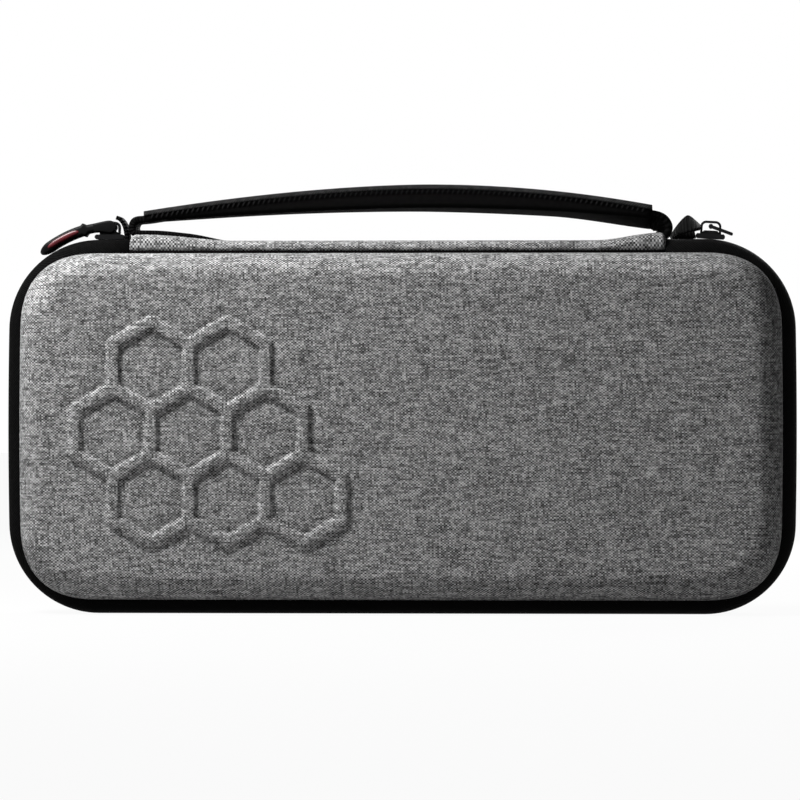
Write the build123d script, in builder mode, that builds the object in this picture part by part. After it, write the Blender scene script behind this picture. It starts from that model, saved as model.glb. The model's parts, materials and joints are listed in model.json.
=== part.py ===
from build123d import *
import os
from math import atan2, cos, degrees, hypot, radians, sin, sqrt, tan

os.makedirs("parts", exist_ok=True)

# Whole case: it stands on its zip edge, front toward -Y, spine and handle on top
case_width = 270.0
case_height = 128.0
case_depth = 52.0
corner_radius = 31.0
side_bow = 1.0
body_gap = 0.3

# Zip band round the left, bottom and right edges
band_bulge = 4.8
band_width = 20.0
slope_depth = 4.0
tape_thickness = 1.4
chain_width = 1.5
chain_depth = 1.5
chain_sink = 0.1

# Moulded shells
shell_wall = 3.0
shell_draft = 3.0
edge_radius = 9.0

# Raised honeycomb patch on the lid: cell places are counted in whole cells
cell_radius = 15.0
ridge_width = 4.2
ridge_height = 0.9
ridge_bevel = 0.5
patch_x = -71.0
patch_z = 62.0
patch_cells = [(-0.5, 1), (0.5, 1), (-1, 0), (0, 0), (1, 0), (-0.5, -1), (0.5, -1), (1.5, -1)]

# Spine, set back from where the corners begin, and the closed zip ends beside it
spine_setback = 12.2
zip_end_length = 20.0

# Handle: webbing, padded sleeve and cover strip
strap_width = 18.0
strap_thickness = 2.2
tail_length = 27.0
foot_inset = 1.3
strap_bend = 2.6
handle_setback = 5.0
handle_width = 20.0
handle_clearance = 7.0
handle_rise = 3.8
pad_end_thickness = 3.2
pad_middle_thickness = 6.4
pad_bevel = 1.2
cover_thickness = 1.5
cover_overhang = 1.0

# Zip sliders: stations are measured along the band from where the corner begins
left_station = -3.0
right_station = 1.8
slider_length = 10.0
slider_width = 9.0
slider_height = 1.6
slider_bevel = 0.5
crown_length = 6.4
crown_height = 4.5
crown_width = 2.4
crown_thickness = 0.8
crown_round = 1.6
pin_radius = 0.8
window_gap = 0.15

# Moulded left pull
pull_width = 7.0
pull_thickness = 3.4
grip_thickness = 4.2
pull_reach = 21.9
pull_belly = 2.1
pull_clearance = 1.2
collar_at = 0.38
collar_thickness = 5.4
collar_length = 1.8
inlay_thickness = 2.2
inlay_proud = 0.3
inlay_start = 0.48
inlay_end = 0.94

# Thin right puller
puller_length = 7.5
puller_width = 6.0
puller_thickness = 1.0
puller_lie = 17.0
arm_gap = 0.5

# Ribbon tabs
ribbon_width = 10.0
ribbon_thickness = 1.8
ribbon_bend = 1.6
tab_inset = 1.3
left_knee_reach = 0.9
left_knee_height = 4.6
left_tip_reach = 3.4
left_tip_height = 7.2
right_knee_reach = 4.6
right_knee_height = 7.6
right_tip_reach = 7.6
right_tip_height = 4.4

# Console tray
tray_front = 2.0
tray_gap = 0.15
tray_lip_reach = 2.6
tray_lip_thickness = 1.6
hollow_side_margin = 7.0
hollow_end_margin = 5.0
hollow_corner = 12.0
tray_floor_thickness = 3.5
scoop_radius = 20.0
scoop_reach = 2.6
scoop_depth = 12.0

# Net pocket in the lid
binding_width = 6.0
binding_thickness = 1.6
net_thickness = 0.8
net_lap = 4.0
pocket_mouth = 14.0
elastic_height = 6.0
elastic_thickness = 1.4

# Sizes worked out from those above
middle_height = case_height / 2
half_width = case_width / 2 - band_bulge
half_height = case_height / 2 - band_bulge
rim_radius = corner_radius - band_bulge
band_half = band_width / 2
rim_depth = band_half + slope_depth
shell_depth = case_depth / 2 - rim_depth
chain_edge = body_gap / 2 + chain_width
slope_inset = tape_thickness * hypot(band_bulge, slope_depth) / slope_depth

# Each side edge is one wide arc, and the sliders turn about the centre of its upper corner
side_radius = (half_height**2 + side_bow**2) / (2 * side_bow)
side_centre = half_width - side_radius
corner_rise = half_height - rim_radius
corner_x = side_centre + sqrt((side_radius - rim_radius) ** 2 - corner_rise**2)
corner_z = middle_height + corner_rise
spine_half = corner_x - spine_setback
zip_end_far = spine_half + zip_end_length


def save(part, label):
    part.label = label
    export_step(part, f"parts/{label}.step")


def half_plane(side, depth):
    """Plane parallel to the front, facing outward on the lid side (-1) or the base side (+1)."""
    return Plane(origin=(0, side * depth, middle_height), x_dir=(-side, 0, 0), z_dir=(0, side, 0))


def outline_face(side, depth, grow):
    """Case outline at a depth, larger or smaller than the shell rim by the given amount."""
    tangent_angle = degrees(atan2(corner_rise, corner_x - side_centre))
    corner_arc = 90 - tangent_angle
    edge_height = half_height + grow
    arc_radius = rim_radius + grow
    with BuildSketch(half_plane(side, depth)) as face:
        with BuildLine():
            Line((-corner_x, edge_height), (corner_x, edge_height))
            CenterArc((-corner_x, corner_rise), arc_radius, 90, corner_arc)
            CenterArc((-side_centre, 0), side_radius + grow, 180 - tangent_angle, 2 * tangent_angle)
            CenterArc((-corner_x, -corner_rise), arc_radius, 180 + tangent_angle, corner_arc)
            Line((-corner_x, -edge_height), (corner_x, -edge_height))
            CenterArc((corner_x, -corner_rise), arc_radius, -90, corner_arc)
            CenterArc((side_centre, 0), side_radius + grow, -tangent_angle, 2 * tangent_angle)
            CenterArc((corner_x, corner_rise), arc_radius, tangent_angle, corner_arc)
        make_face()
    return face.sketch


def drafted_block(side, depth, inset):
    """Block that tapers from the shell rim down to the given depth."""
    near_face = outline_face(side, rim_depth, -inset)
    far_face = outline_face(side, rim_depth + depth, -inset - depth * tan(radians(shell_draft)))
    with BuildPart() as block:
        loft([near_face, far_face], ruled=True)
    return block.part


def far_edges(part, side):
    """Edges of the face that lies furthest out on the lid side (-1) or the base side (+1)."""
    return part.faces().sort_by(Axis.Y)[-1 if side > 0 else 0].edges()


def shell_filling(side, inset):
    """What fills a shell's inside: its far edge is bevelled to keep the wall under the rounded edge."""
    inner_depth = shell_depth - shell_wall
    with BuildPart() as filling:
        add(drafted_block(side, inner_depth, inset))
        inner_bevel = min(edge_radius - shell_wall, inner_depth - binding_thickness)
        chamfer(far_edges(filling.part, side), inner_bevel)
    return filling.part


def shell_half(side):
    with BuildPart() as shell:
        add(drafted_block(side, shell_depth, 0))
        fillet(far_edges(shell.part, side), radius=edge_radius)
        add(shell_filling(side, shell_wall), mode=Mode.SUBTRACT)
    return shell.part


# Back shell
save(shell_half(1), "base_shell")

# Front shell with the raised honeycomb patch
cell_pitch = cell_radius * sqrt(3)
row_pitch = cell_radius * 1.5
cell_places = [
    (patch_x + column * cell_pitch, patch_z - middle_height + row * row_pitch)
    for column, row in patch_cells
]
half_ridge = ridge_width / sqrt(3)
with BuildPart() as lid_shell:
    add(shell_half(-1))
    with BuildSketch(half_plane(-1, case_depth / 2)):
        with Locations(*cell_places):
            RegularPolygon(cell_radius + half_ridge, 6, rotation=30)
        with Locations(*cell_places):
            RegularPolygon(cell_radius - half_ridge, 6, rotation=30, mode=Mode.SUBTRACT)
    extrude(amount=ridge_height)
    chamfer(lid_shell.faces().sort_by(Axis.Y)[0].edges(), ridge_bevel)
save(lid_shell.part, "lid_shell")


def slope_ring(side):
    """Sloped seam strip all round, from the shell rim out to the flat part of the band."""
    inner_start = rim_depth - slope_depth * (band_bulge - tape_thickness + slope_inset) / band_bulge
    with BuildPart() as ring:
        loft([outline_face(side, band_half, band_bulge), outline_face(side, rim_depth, 0)], ruled=True)
        inner_near = outline_face(side, inner_start, band_bulge - tape_thickness)
        inner_far = outline_face(side, rim_depth, -slope_inset)
        loft([inner_near, inner_far], ruled=True, mode=Mode.SUBTRACT)
    return ring.part


def flat_ring(side, near, far, outer, inner):
    """Straight-walled ring round the whole outline between two depths."""
    with BuildPart() as ring:
        extrude(outline_face(side, near, outer), amount=far - near)
        extrude(outline_face(side, near, inner), amount=far - near, mode=Mode.SUBTRACT)
    return ring.part


def top_block(half_length):
    """Block over the top edge of the case, used to part the spine from the zip."""
    with BuildPart() as block:
        with Locations((0, 0, case_height)):
            Box(2 * half_length, case_depth, 2 * corner_radius)
    return block.part


# Zip tapes, chains and spine hems of both halves
for side, half_name in ((-1, "lid"), (1, "base")):
    tape_ring = flat_ring(side, chain_edge, band_half, band_bulge, band_bulge - tape_thickness)
    with BuildPart() as zip_tape:
        add(tape_ring)
        add(top_block(zip_end_far + body_gap), mode=Mode.SUBTRACT)
        add(slope_ring(side))
        add(top_block(spine_half + body_gap), mode=Mode.SUBTRACT)
    save(zip_tape.part, f"{half_name}_zip_tape")

    chain_top = band_bulge - chain_sink
    with BuildPart() as zip_chain:
        add(flat_ring(side, body_gap / 2, chain_edge, chain_top, chain_top - chain_depth))
        add(top_block(zip_end_far + body_gap), mode=Mode.SUBTRACT)
    save(zip_chain.part, f"{half_name}_zip_chain")

    with BuildPart() as spine_hem:
        add(slope_ring(side))
        add(top_block(spine_half), mode=Mode.INTERSECT)
    save(spine_hem.part, f"{half_name}_spine_hem")


def both_sides_ring():
    """Flat band ring that spans both halves, less the gaps at its two edges."""
    reach = band_half - body_gap
    return flat_ring(1, -reach, reach, band_bulge, band_bulge - tape_thickness)


# Spine, which turns on the base at its back edge and carries the lid at its front edge
with BuildPart() as spine_panel:
    add(both_sides_ring())
    add(top_block(spine_half), mode=Mode.INTERSECT)
save(spine_panel.part, "spine_panel")

# Closed zip ends that join the zip to the spine
for side, side_name in ((-1, "left"), (1, "right")):
    end_middle = side * (spine_half + body_gap + zip_end_far) / 2
    with BuildPart() as zip_end:
        add(both_sides_ring())
        with Locations((end_middle, 0, case_height)):
            Box(zip_end_length - body_gap, case_depth, 2 * corner_radius, mode=Mode.INTERSECT)
    save(zip_end.part, f"{side_name}_zip_end")


handle_half = spine_half - handle_setback
pad_bottom_end = case_height + handle_clearance
pad_bottom_middle = pad_bottom_end + handle_rise
pad_top_end = pad_bottom_end + pad_end_thickness
pad_top_middle = pad_bottom_middle + pad_middle_thickness


def arch_radius(rise):
    """Radius of the handle's bow that rises this much over the handle's length."""
    return (handle_half**2 + rise**2) / (2 * rise)


# Handle webbing: it bows over the spine and its folded tails lie flat on the spine
tail_z = case_height + strap_thickness / 2
foot_x = spine_half - foot_inset
strap_end_z = (pad_bottom_end + pad_top_end) / 2
strap_middle_z = (pad_bottom_middle + pad_top_middle) / 2
strap_arch = arch_radius(strap_middle_z - strap_end_z)
strap_slope = handle_half / sqrt(strap_arch**2 - handle_half**2)
knee_z = strap_end_z - (foot_x - handle_half) * strap_slope
with BuildPart() as handle_strap:
    with BuildSketch(Plane.XZ):
        with BuildLine():
            for side in (-1, 1):
                FilletPolyline(
                    (side * (foot_x - tail_length), tail_z),
                    (side * foot_x, tail_z),
                    (side * foot_x, knee_z),
                    (side * handle_half, strap_end_z),
                    radius=strap_bend,
                )
            ThreePointArc((-handle_half, strap_end_z), (0, strap_middle_z), (handle_half, strap_end_z))
        trace(line_width=strap_thickness)
    extrude(amount=strap_width / 2, both=True)
save(handle_strap.part, "handle_strap")

# Padded sleeve round the webbing, thickest in the middle
with BuildPart() as handle_pad:
    with BuildSketch(Plane.XZ):
        with BuildLine():
            left_end = -handle_half
            right_end = handle_half
            ThreePointArc((left_end, pad_bottom_end), (0, pad_bottom_middle), (right_end, pad_bottom_end))
            Line((right_end, pad_bottom_end), (right_end, pad_top_end))
            ThreePointArc((right_end, pad_top_end), (0, pad_top_middle), (left_end, pad_top_end))
            Line((left_end, pad_top_end), (left_end, pad_bottom_end))
        make_face()
    extrude(amount=handle_width / 2, both=True)
    chamfer(handle_pad.edges().filter_by(GeomType.CIRCLE).group_by(Axis.Z)[0], pad_bevel)
    add(handle_strap.part, mode=Mode.SUBTRACT)
save(handle_pad.part, "handle_pad")

# Cover strip along the top of the sleeve
cover_arch = arch_radius(pad_top_middle - pad_top_end)
cover_reach = degrees(atan2(handle_half + cover_overhang, cover_arch))
with BuildPart() as handle_cover:
    with BuildSketch(Plane.XZ):
        with BuildLine():
            CenterArc(
                (0, pad_top_middle - cover_arch),
                cover_arch + cover_thickness / 2,
                90 - cover_reach,
                2 * cover_reach,
            )
        trace(line_width=cover_thickness)
    extrude(amount=handle_width / 2, both=True)
save(handle_cover.part, "handle_cover")


def track_plane(side, station):
    """Plane on the band's face: its x runs along the zip away from the spine, its y points outward."""
    turn = max(station, 0) / corner_radius
    run = corner_x + min(station, 0) + corner_radius * sin(turn)
    rise = corner_z + corner_radius * cos(turn)
    return Plane(
        origin=(side * run, 0, rise),
        x_dir=(side * cos(turn), 0, -sin(turn)),
        z_dir=(0, -side, 0),
    )


# The pull pins hang under the crowns, and the pull arms straddle them
slider_top = body_gap + slider_height
crown_top = slider_top + crown_height
pivot_height = crown_top - crown_thickness - body_gap - pin_radius
pivot = (0, pivot_height)
window_half = crown_width / 2 + arm_gap
window_radius = hypot((crown_length + crown_thickness) / 2, pivot_height - slider_top) + window_gap


def make_slider(plane):
    with BuildPart() as slider:
        with BuildSketch(plane):
            with Locations((0, body_gap + slider_height / 2)):
                saddle = Rectangle(slider_length, slider_height)
            chamfer(saddle.vertices(), slider_bevel)
        extrude(amount=slider_width / 2, both=True)
        with BuildSketch(plane):
            with BuildLine():
                FilletPolyline(
                    (-crown_length / 2, slider_top - crown_thickness / 2),
                    (-crown_length / 2, crown_top - crown_thickness / 2),
                    (crown_length / 2, crown_top - crown_thickness / 2),
                    (crown_length / 2, slider_top - crown_thickness / 2),
                    radius=crown_round,
                )
            trace(line_width=crown_thickness)
        extrude(amount=crown_width / 2, both=True)
    return slider.part


left_plane = track_plane(-1, left_station)
right_plane = track_plane(1, right_station)
save(make_slider(left_plane), "left_slider")
save(make_slider(right_plane), "right_slider")

# Moulded left pull: two arms and a pin under the crown, a collar and a thicker grip
corner_run = pull_reach + left_station
corner_drop = corner_radius - sqrt(corner_radius**2 - corner_run**2)
pull_end = (pull_reach, pull_clearance + grip_thickness / 2 - corner_drop)
pull_middle = (pull_reach / 2, (pivot_height + pull_end[1]) / 2 + pull_belly)
pull_line = Edge.make_three_point_arc(pivot, pull_middle, pull_end)
collar_slope = pull_line % collar_at
collar_turn = degrees(atan2(collar_slope.Y, collar_slope.X))
inlay_line = pull_line.trim(inlay_start, inlay_end)
with BuildPart() as left_pull_inlay:
    with BuildSketch(left_plane):
        trace(inlay_line, inlay_thickness)
        with Locations(tuple(inlay_line @ 0)[:2], tuple(inlay_line @ 1)[:2]):
            Circle(inlay_thickness / 2)
    extrude(amount=pull_width / 2 + inlay_proud, both=True)
save(left_pull_inlay.part, "left_pull_inlay")

with BuildPart() as left_pull:
    with BuildSketch(left_plane):
        trace(pull_line, pull_thickness)
        with Locations(pivot):
            Circle(pull_thickness / 2)
        trace(pull_line.trim(collar_at, 1), grip_thickness)
        with Locations(pull_end):
            Circle(grip_thickness / 2)
        with Locations(tuple(pull_line @ collar_at)[:2]):
            Rectangle(collar_length, collar_thickness, rotation=collar_turn)
    extrude(amount=pull_width / 2, both=True)
    with BuildSketch(left_plane):
        with Locations(pivot):
            Circle(window_radius)
    extrude(amount=window_half, both=True, mode=Mode.SUBTRACT)
    with BuildSketch(left_plane):
        with Locations(pivot):
            Circle(pin_radius)
    extrude(amount=window_half, both=True)
    add(left_pull_inlay.part, mode=Mode.SUBTRACT)
save(left_pull.part, "left_pull")

# Thin right puller with its own window and pin
puller_end = (
    puller_length * cos(radians(puller_lie)),
    pivot_height - puller_length * sin(radians(puller_lie)),
)
with BuildPart() as right_puller:
    with BuildSketch(right_plane):
        trace(Edge.make_line(pivot, puller_end), puller_thickness)
        with Locations(puller_end):
            Circle(puller_thickness / 2)
    extrude(amount=puller_width / 2, both=True)
    with BuildSketch(right_plane):
        with Locations(pivot):
            Circle(window_radius)
    extrude(amount=window_half, both=True, mode=Mode.SUBTRACT)
    with BuildSketch(right_plane):
        with Locations(pivot):
            Circle(pin_radius)
    extrude(amount=puller_width / 2, both=True)
save(right_puller.part, "right_puller")

# Folded ribbon tabs on the zip ends
tab_start = spine_half + tab_inset
left_bends = ((0, 0), (left_knee_reach, left_knee_height), (left_tip_reach, left_tip_height))
right_bends = ((0, 0), (right_knee_reach, right_knee_height), (right_tip_reach, right_tip_height))
for side, side_name, bends in ((-1, "left", left_bends), (1, "right", right_bends)):
    with BuildPart() as ribbon_tab:
        with BuildSketch(Plane.XZ):
            with BuildLine():
                points = [(side * (tab_start + reach), case_height + height) for reach, height in bends]
                FilletPolyline(*points, radius=ribbon_bend)
            trace(line_width=ribbon_thickness)
            with Locations((side * tab_start, case_height)):
                below_align = (Align.CENTER, Align.MAX)
                Rectangle(zip_end_length, ribbon_thickness, align=below_align, mode=Mode.SUBTRACT)
        extrude(amount=ribbon_width / 2, both=True)
    save(ribbon_tab.part, f"{side_name}_ribbon_tab")

# Console tray: moulded surround in the base, and the floor panel behind its hollow
tray_inset = shell_wall + tray_gap
hollow_length = 2 * (half_width - tray_inset - hollow_side_margin)
hollow_height = 2 * (half_height - tray_inset - hollow_end_margin)
hollow_depth = case_depth / 2 - shell_wall - tray_floor_thickness - tray_front
with BuildPart() as hollow:
    with BuildSketch(half_plane(1, tray_front)):
        RectangleRounded(hollow_length, hollow_height, hollow_corner)
    extrude(amount=hollow_depth)
    with BuildSketch(half_plane(1, tray_front)):
        scoop_offset = hollow_height / 2 + scoop_reach - scoop_radius
        with Locations((0, scoop_offset), (0, -scoop_offset)):
            Circle(scoop_radius)
    extrude(amount=scoop_depth)

floor_plane = half_plane(1, tray_front + hollow_depth)
with BuildPart() as console_tray:
    add(shell_filling(1, tray_inset))
    split(bisect_by=floor_plane, keep=Keep.BOTTOM)
    extrude(outline_face(1, tray_front, -tray_inset), amount=rim_depth - tray_front)
    extrude(outline_face(1, tray_front, tray_lip_reach), amount=tray_lip_thickness)
    add(hollow.part, mode=Mode.SUBTRACT)
save(console_tray.part, "console_tray")

with BuildPart() as tray_floor:
    add(shell_filling(1, tray_inset))
    split(bisect_by=floor_plane, keep=Keep.TOP)
save(tray_floor.part, "tray_floor")

# Net pocket in the lid: binding round the rim, net, and elastic along its mouth
binding_inner = tray_inset + binding_width
binding_far = rim_depth + binding_thickness
with BuildPart() as pocket_binding:
    add(flat_ring(-1, rim_depth, binding_far, -tray_inset, -binding_inner))
save(pocket_binding.part, "pocket_binding")

mouth_z = case_height - band_bulge - binding_inner - pocket_mouth
with BuildPart() as below_mouth:
    with Locations((0, 0, mouth_z)):
        Box(case_width, case_depth, case_height, align=(Align.CENTER, Align.CENTER, Align.MAX))
with BuildPart() as mesh_pocket:
    extrude(outline_face(-1, binding_far, net_lap - binding_inner), amount=net_thickness)
    add(below_mouth.part, mode=Mode.INTERSECT)
save(mesh_pocket.part, "mesh_pocket")

with BuildPart() as pocket_elastic:
    extrude(outline_face(-1, binding_far - elastic_thickness, -binding_inner), amount=elastic_thickness)
    with Locations((0, 0, mouth_z)):
        elastic_align = (Align.CENTER, Align.CENTER, Align.MAX)
        Box(case_width, case_depth, elastic_height, align=elastic_align, mode=Mode.INTERSECT)
save(pocket_elastic.part, "pocket_elastic")
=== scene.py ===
import json
import math
import bmesh
import bpy
import numpy as np
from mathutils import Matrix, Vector


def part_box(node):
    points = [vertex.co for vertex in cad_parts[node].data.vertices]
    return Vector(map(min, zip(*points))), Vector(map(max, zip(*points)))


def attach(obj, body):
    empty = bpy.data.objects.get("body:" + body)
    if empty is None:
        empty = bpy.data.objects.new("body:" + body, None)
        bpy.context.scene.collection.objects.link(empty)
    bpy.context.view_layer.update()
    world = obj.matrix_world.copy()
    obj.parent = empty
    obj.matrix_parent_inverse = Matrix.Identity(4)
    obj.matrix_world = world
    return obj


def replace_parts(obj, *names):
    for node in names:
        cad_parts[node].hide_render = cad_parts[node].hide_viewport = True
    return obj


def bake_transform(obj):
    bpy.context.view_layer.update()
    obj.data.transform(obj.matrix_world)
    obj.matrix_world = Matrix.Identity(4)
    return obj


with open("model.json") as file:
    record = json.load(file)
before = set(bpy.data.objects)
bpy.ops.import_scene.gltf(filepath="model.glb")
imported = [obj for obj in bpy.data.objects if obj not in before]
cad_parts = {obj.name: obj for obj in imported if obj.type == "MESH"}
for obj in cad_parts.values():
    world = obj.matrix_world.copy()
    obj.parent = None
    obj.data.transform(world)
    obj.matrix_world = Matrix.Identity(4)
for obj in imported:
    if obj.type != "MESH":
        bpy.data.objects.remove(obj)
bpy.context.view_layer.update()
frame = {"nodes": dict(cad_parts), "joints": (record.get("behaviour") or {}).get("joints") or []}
scene = bpy.context.scene
scene.view_settings.view_transform = "Standard"
MM = 0.001

# Case outline in millimetres, as the shells' rim has it: y is depth, z is height
tape_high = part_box("lid_zip_tape")[1]
shell_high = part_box("lid_shell")[1]
CASE_HEIGHT = tape_high.z / MM
MIDDLE = CASE_HEIGHT / 2
BAND_BULGE = (tape_high.x - shell_high.x) / MM
HALF_WIDTH = shell_high.x / MM
HALF_HEIGHT = MIDDLE - BAND_BULGE
RIM_RADIUS = 26.2
SIDE_BOW = 1.0
SIDE_RADIUS = (HALF_HEIGHT**2 + SIDE_BOW**2) / (2 * SIDE_BOW)
SIDE_CENTRE = HALF_WIDTH - SIDE_RADIUS
CORNER_RISE = HALF_HEIGHT - RIM_RADIUS
CORNER_X = SIDE_CENTRE + math.sqrt((SIDE_RADIUS - RIM_RADIUS) ** 2 - CORNER_RISE**2)
TANGENT = math.atan2(CORNER_RISE, CORNER_X - SIDE_CENTRE)
RIM_DEPTH = 14.0
FACE_DEPTH = 26.0
SPINE_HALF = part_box("spine_panel")[1].x / MM
SPINE_LEFT = SPINE_HALF + 1.2
SPINE_RIGHT = SPINE_HALF - 1.2
ZIP_END_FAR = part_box("right_zip_end")[1].x / MM
GAP = 0.3


# Mesh helpers
def add_piece(name, points, faces, loop_uv, body, slot, materials, face_material=None):
    """New object from points in millimetres, riding on a body."""
    mesh = bpy.data.meshes.new(name)
    mesh.from_pydata((np.asarray(points, float) * MM).tolist(), [], faces)
    if loop_uv is not None:
        layer = mesh.uv_layers.new(name="UVMap")
        layer.data.foreach_set("uv", np.asarray(loop_uv, np.float32).ravel())
    for material in materials:
        mesh.materials.append(material)
    if face_material is not None:
        mesh.polygons.foreach_set("material_index", face_material)
    mesh.polygons.foreach_set("use_smooth", [True] * len(mesh.polygons))
    mesh.update()
    made = bpy.data.objects.new(name, mesh)
    scene.collection.objects.link(made)
    tidy_normals(made)
    if body:
        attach(made, body)
    return made


def tidy_normals(obj):
    edit = bmesh.new()
    edit.from_mesh(obj.data)
    bmesh.ops.recalc_face_normals(edit, faces=edit.faces)
    edit.to_mesh(obj.data)
    edit.free()


def running_length(points):
    """Distance along a row of points, from its first one."""
    steps = np.linalg.norm(np.diff(np.asarray(points, float), axis=0), axis=1)
    return np.concatenate(([0.0], np.cumsum(steps)))


def loft(rings, closed=True, caps=True, along=None, loop=False):
    """Skin over rings of equal length: points, faces and a UV in millimetres for each face corner.
    With loop, the last ring is joined to the first."""
    rings = np.asarray(rings, float)
    count, size = rings.shape[:2]
    if along is None:
        middles = rings.mean(axis=1)
        along = running_length(np.vstack([middles, middles[:1]]) if loop else middles)
    widest = rings[count // 2]
    across = running_length(np.vstack([widest, widest[:1]]) if closed else widest)
    faces, loop_uv = [], []
    for i in range(count if loop else count - 1):
        here, there = i * size, (i + 1) % count * size
        for j in range(size if closed else size - 1):
            k = (j + 1) % size
            faces.append((here + j, here + k, there + k, there + j))
            low, high = across[j], across[j + 1]
            loop_uv += [(along[i], low), (along[i], high), (along[i + 1], high), (along[i + 1], low)]
    if closed and caps and not loop:
        for i in (0, count - 1):
            faces.append(tuple(i * size + j for j in range(size)))
            loop_uv += [(along[i], across[j]) for j in range(size)]
    return rings.reshape(-1, 3), faces, loop_uv


def join_parts(parts):
    """One set of points, faces and UVs from several."""
    points, faces, loop_uv, start = [], [], [], 0
    for part_points, part_faces, part_uv in parts:
        points.append(part_points)
        faces += [tuple(v + start for v in face) for face in part_faces]
        loop_uv += part_uv
        start += len(part_points)
    return np.vstack(points), faces, loop_uv


def rounded_section(width, height, radius, steps=5):
    """Points round a rounded rectangle, centred."""
    radius = min(radius, width / 2 - 1e-4, height / 2 - 1e-4)
    points = []
    for turn, sx, sy in ((0, 1, 1), (90, -1, 1), (180, -1, -1), (270, 1, -1)):
        for step in range(steps + 1):
            angle = math.radians(turn + 90 * step / steps)
            points.append((
                sx * (width / 2 - radius) + radius * math.cos(angle),
                sy * (height / 2 - radius) + radius * math.sin(angle),
            ))
    return np.array(points)


def smooth_step(value, low, high):
    t = np.clip((np.asarray(value, float) - low) / (high - low), 0, 1)
    return t * t * (3 - 2 * t)


# Node helpers
def add_node(tree, kind, inputs=None, **settings):
    made = tree.nodes.new(kind)
    for key, value in settings.items():
        setattr(made, key, value)
    for key, value in (inputs or {}).items():
        if isinstance(value, bpy.types.NodeSocket):
            tree.links.new(value, made.inputs[key])
        else:
            made.inputs[key].default_value = value
    return made


def calc(tree, operation, *values):
    return add_node(tree, "ShaderNodeMath", dict(enumerate(values)), operation=operation).outputs[0]


def vector(tree, x, y, z=0.0):
    return add_node(tree, "ShaderNodeCombineXYZ", {0: x, 1: y, 2: z}).outputs[0]


def noise(tree, place, scale, detail=2.0, rough=0.5):
    inputs = {"Vector": place, "Scale": scale, "Detail": detail, "Roughness": rough}
    return add_node(tree, "ShaderNodeTexNoise", inputs).outputs["Fac"]


def ramp(tree, value, stops):
    made = add_node(tree, "ShaderNodeValToRGB", {"Fac": value})
    elements = made.color_ramp.elements
    while len(elements) < len(stops):
        elements.new(0.5)
    for element, (place, colour) in zip(elements, stops):
        element.position = place
        element.color = (*colour, 1.0)
    return made.outputs["Color"]


def grey(value, tint=(1.0, 1.0, 1.0)):
    return tuple(value * t for t in tint)


def new_material(name, **sockets):
    """Principled material whose constant values sit on the shader's own sockets."""
    material = bpy.data.materials.new(name)
    material.use_nodes = True
    shader = material.node_tree.nodes["Principled BSDF"]
    for key, value in sockets.items():
        shader.inputs[key.replace("_", " ")].default_value = value
    return material, material.node_tree, shader


def set_bump(tree, shader, height, distance, strength=1.0):
    bump = add_node(tree, "ShaderNodeBump", {"Height": height, "Distance": distance, "Strength": strength})
    tree.links.new(bump.outputs["Normal"], shader.inputs["Normal"])


def uv_axes(tree):
    uv = add_node(tree, "ShaderNodeUVMap", uv_map="UVMap").outputs["UV"]
    axes = add_node(tree, "ShaderNodeSeparateXYZ", {0: uv})
    return axes.outputs["X"], axes.outputs["Y"]


def heather_fabric(name, warp_pitch, weft_pitch, stops):
    """Plain weave of mottled yarns: a checker of warp over weft, and a tone that wanders along each."""
    material, tree, shader = new_material(name, Roughness=0.9)
    shader.inputs["Specular IOR Level"].default_value = 0.05
    u, v = uv_axes(tree)
    sway = noise(tree, vector(tree, u, v), 0.05, 1.0)
    sag = noise(tree, vector(tree, u, v, 200.0), 0.05, 1.0)
    lean = calc(tree, "MULTIPLY_ADD", v, 0.046, u)
    across = calc(tree, "DIVIDE", calc(tree, "MULTIPLY_ADD", sway, 1.5, lean), warp_pitch)
    up = calc(tree, "DIVIDE", calc(tree, "MULTIPLY_ADD", sag, 1.5, v), weft_pitch)
    warp, weft = calc(tree, "FLOOR", across), calc(tree, "FLOOR", up)
    weft_place = vector(tree, calc(tree, "MULTIPLY", u, 0.12), calc(tree, "MULTIPLY", weft, 2.7))
    warp_place = vector(tree, calc(tree, "MULTIPLY", warp, 2.7), calc(tree, "MULTIPLY", v, 0.16), 9.0)
    crossing = vector(tree, warp, weft, 3.0)
    fleck = add_node(tree, "ShaderNodeTexWhiteNoise", {"Vector": crossing}).outputs["Value"]
    swing_u = calc(tree, "SINE", calc(tree, "MULTIPLY", across, math.pi))
    swing_v = calc(tree, "SINE", calc(tree, "MULTIPLY", up, math.pi))
    checker = calc(tree, "MULTIPLY", swing_u, swing_v)
    tone = 0.5
    for part, middle, weight in (
        (noise(tree, weft_place, 1.0, 2.0, 0.6), 0.5, 1.00),
        (noise(tree, warp_place, 1.0, 2.0, 0.6), 0.5, 0.65),
        (fleck, 0.5, 0.50),
        (checker, 0.0, 0.36),
    ):
        tone = calc(tree, "ADD", tone, calc(tree, "MULTIPLY", calc(tree, "SUBTRACT", part, middle), weight))
    tree.links.new(ramp(tree, tone, stops), shader.inputs["Base Color"])
    set_bump(tree, shader, checker, 0.04 * MM, 0.4)
    return material


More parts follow.
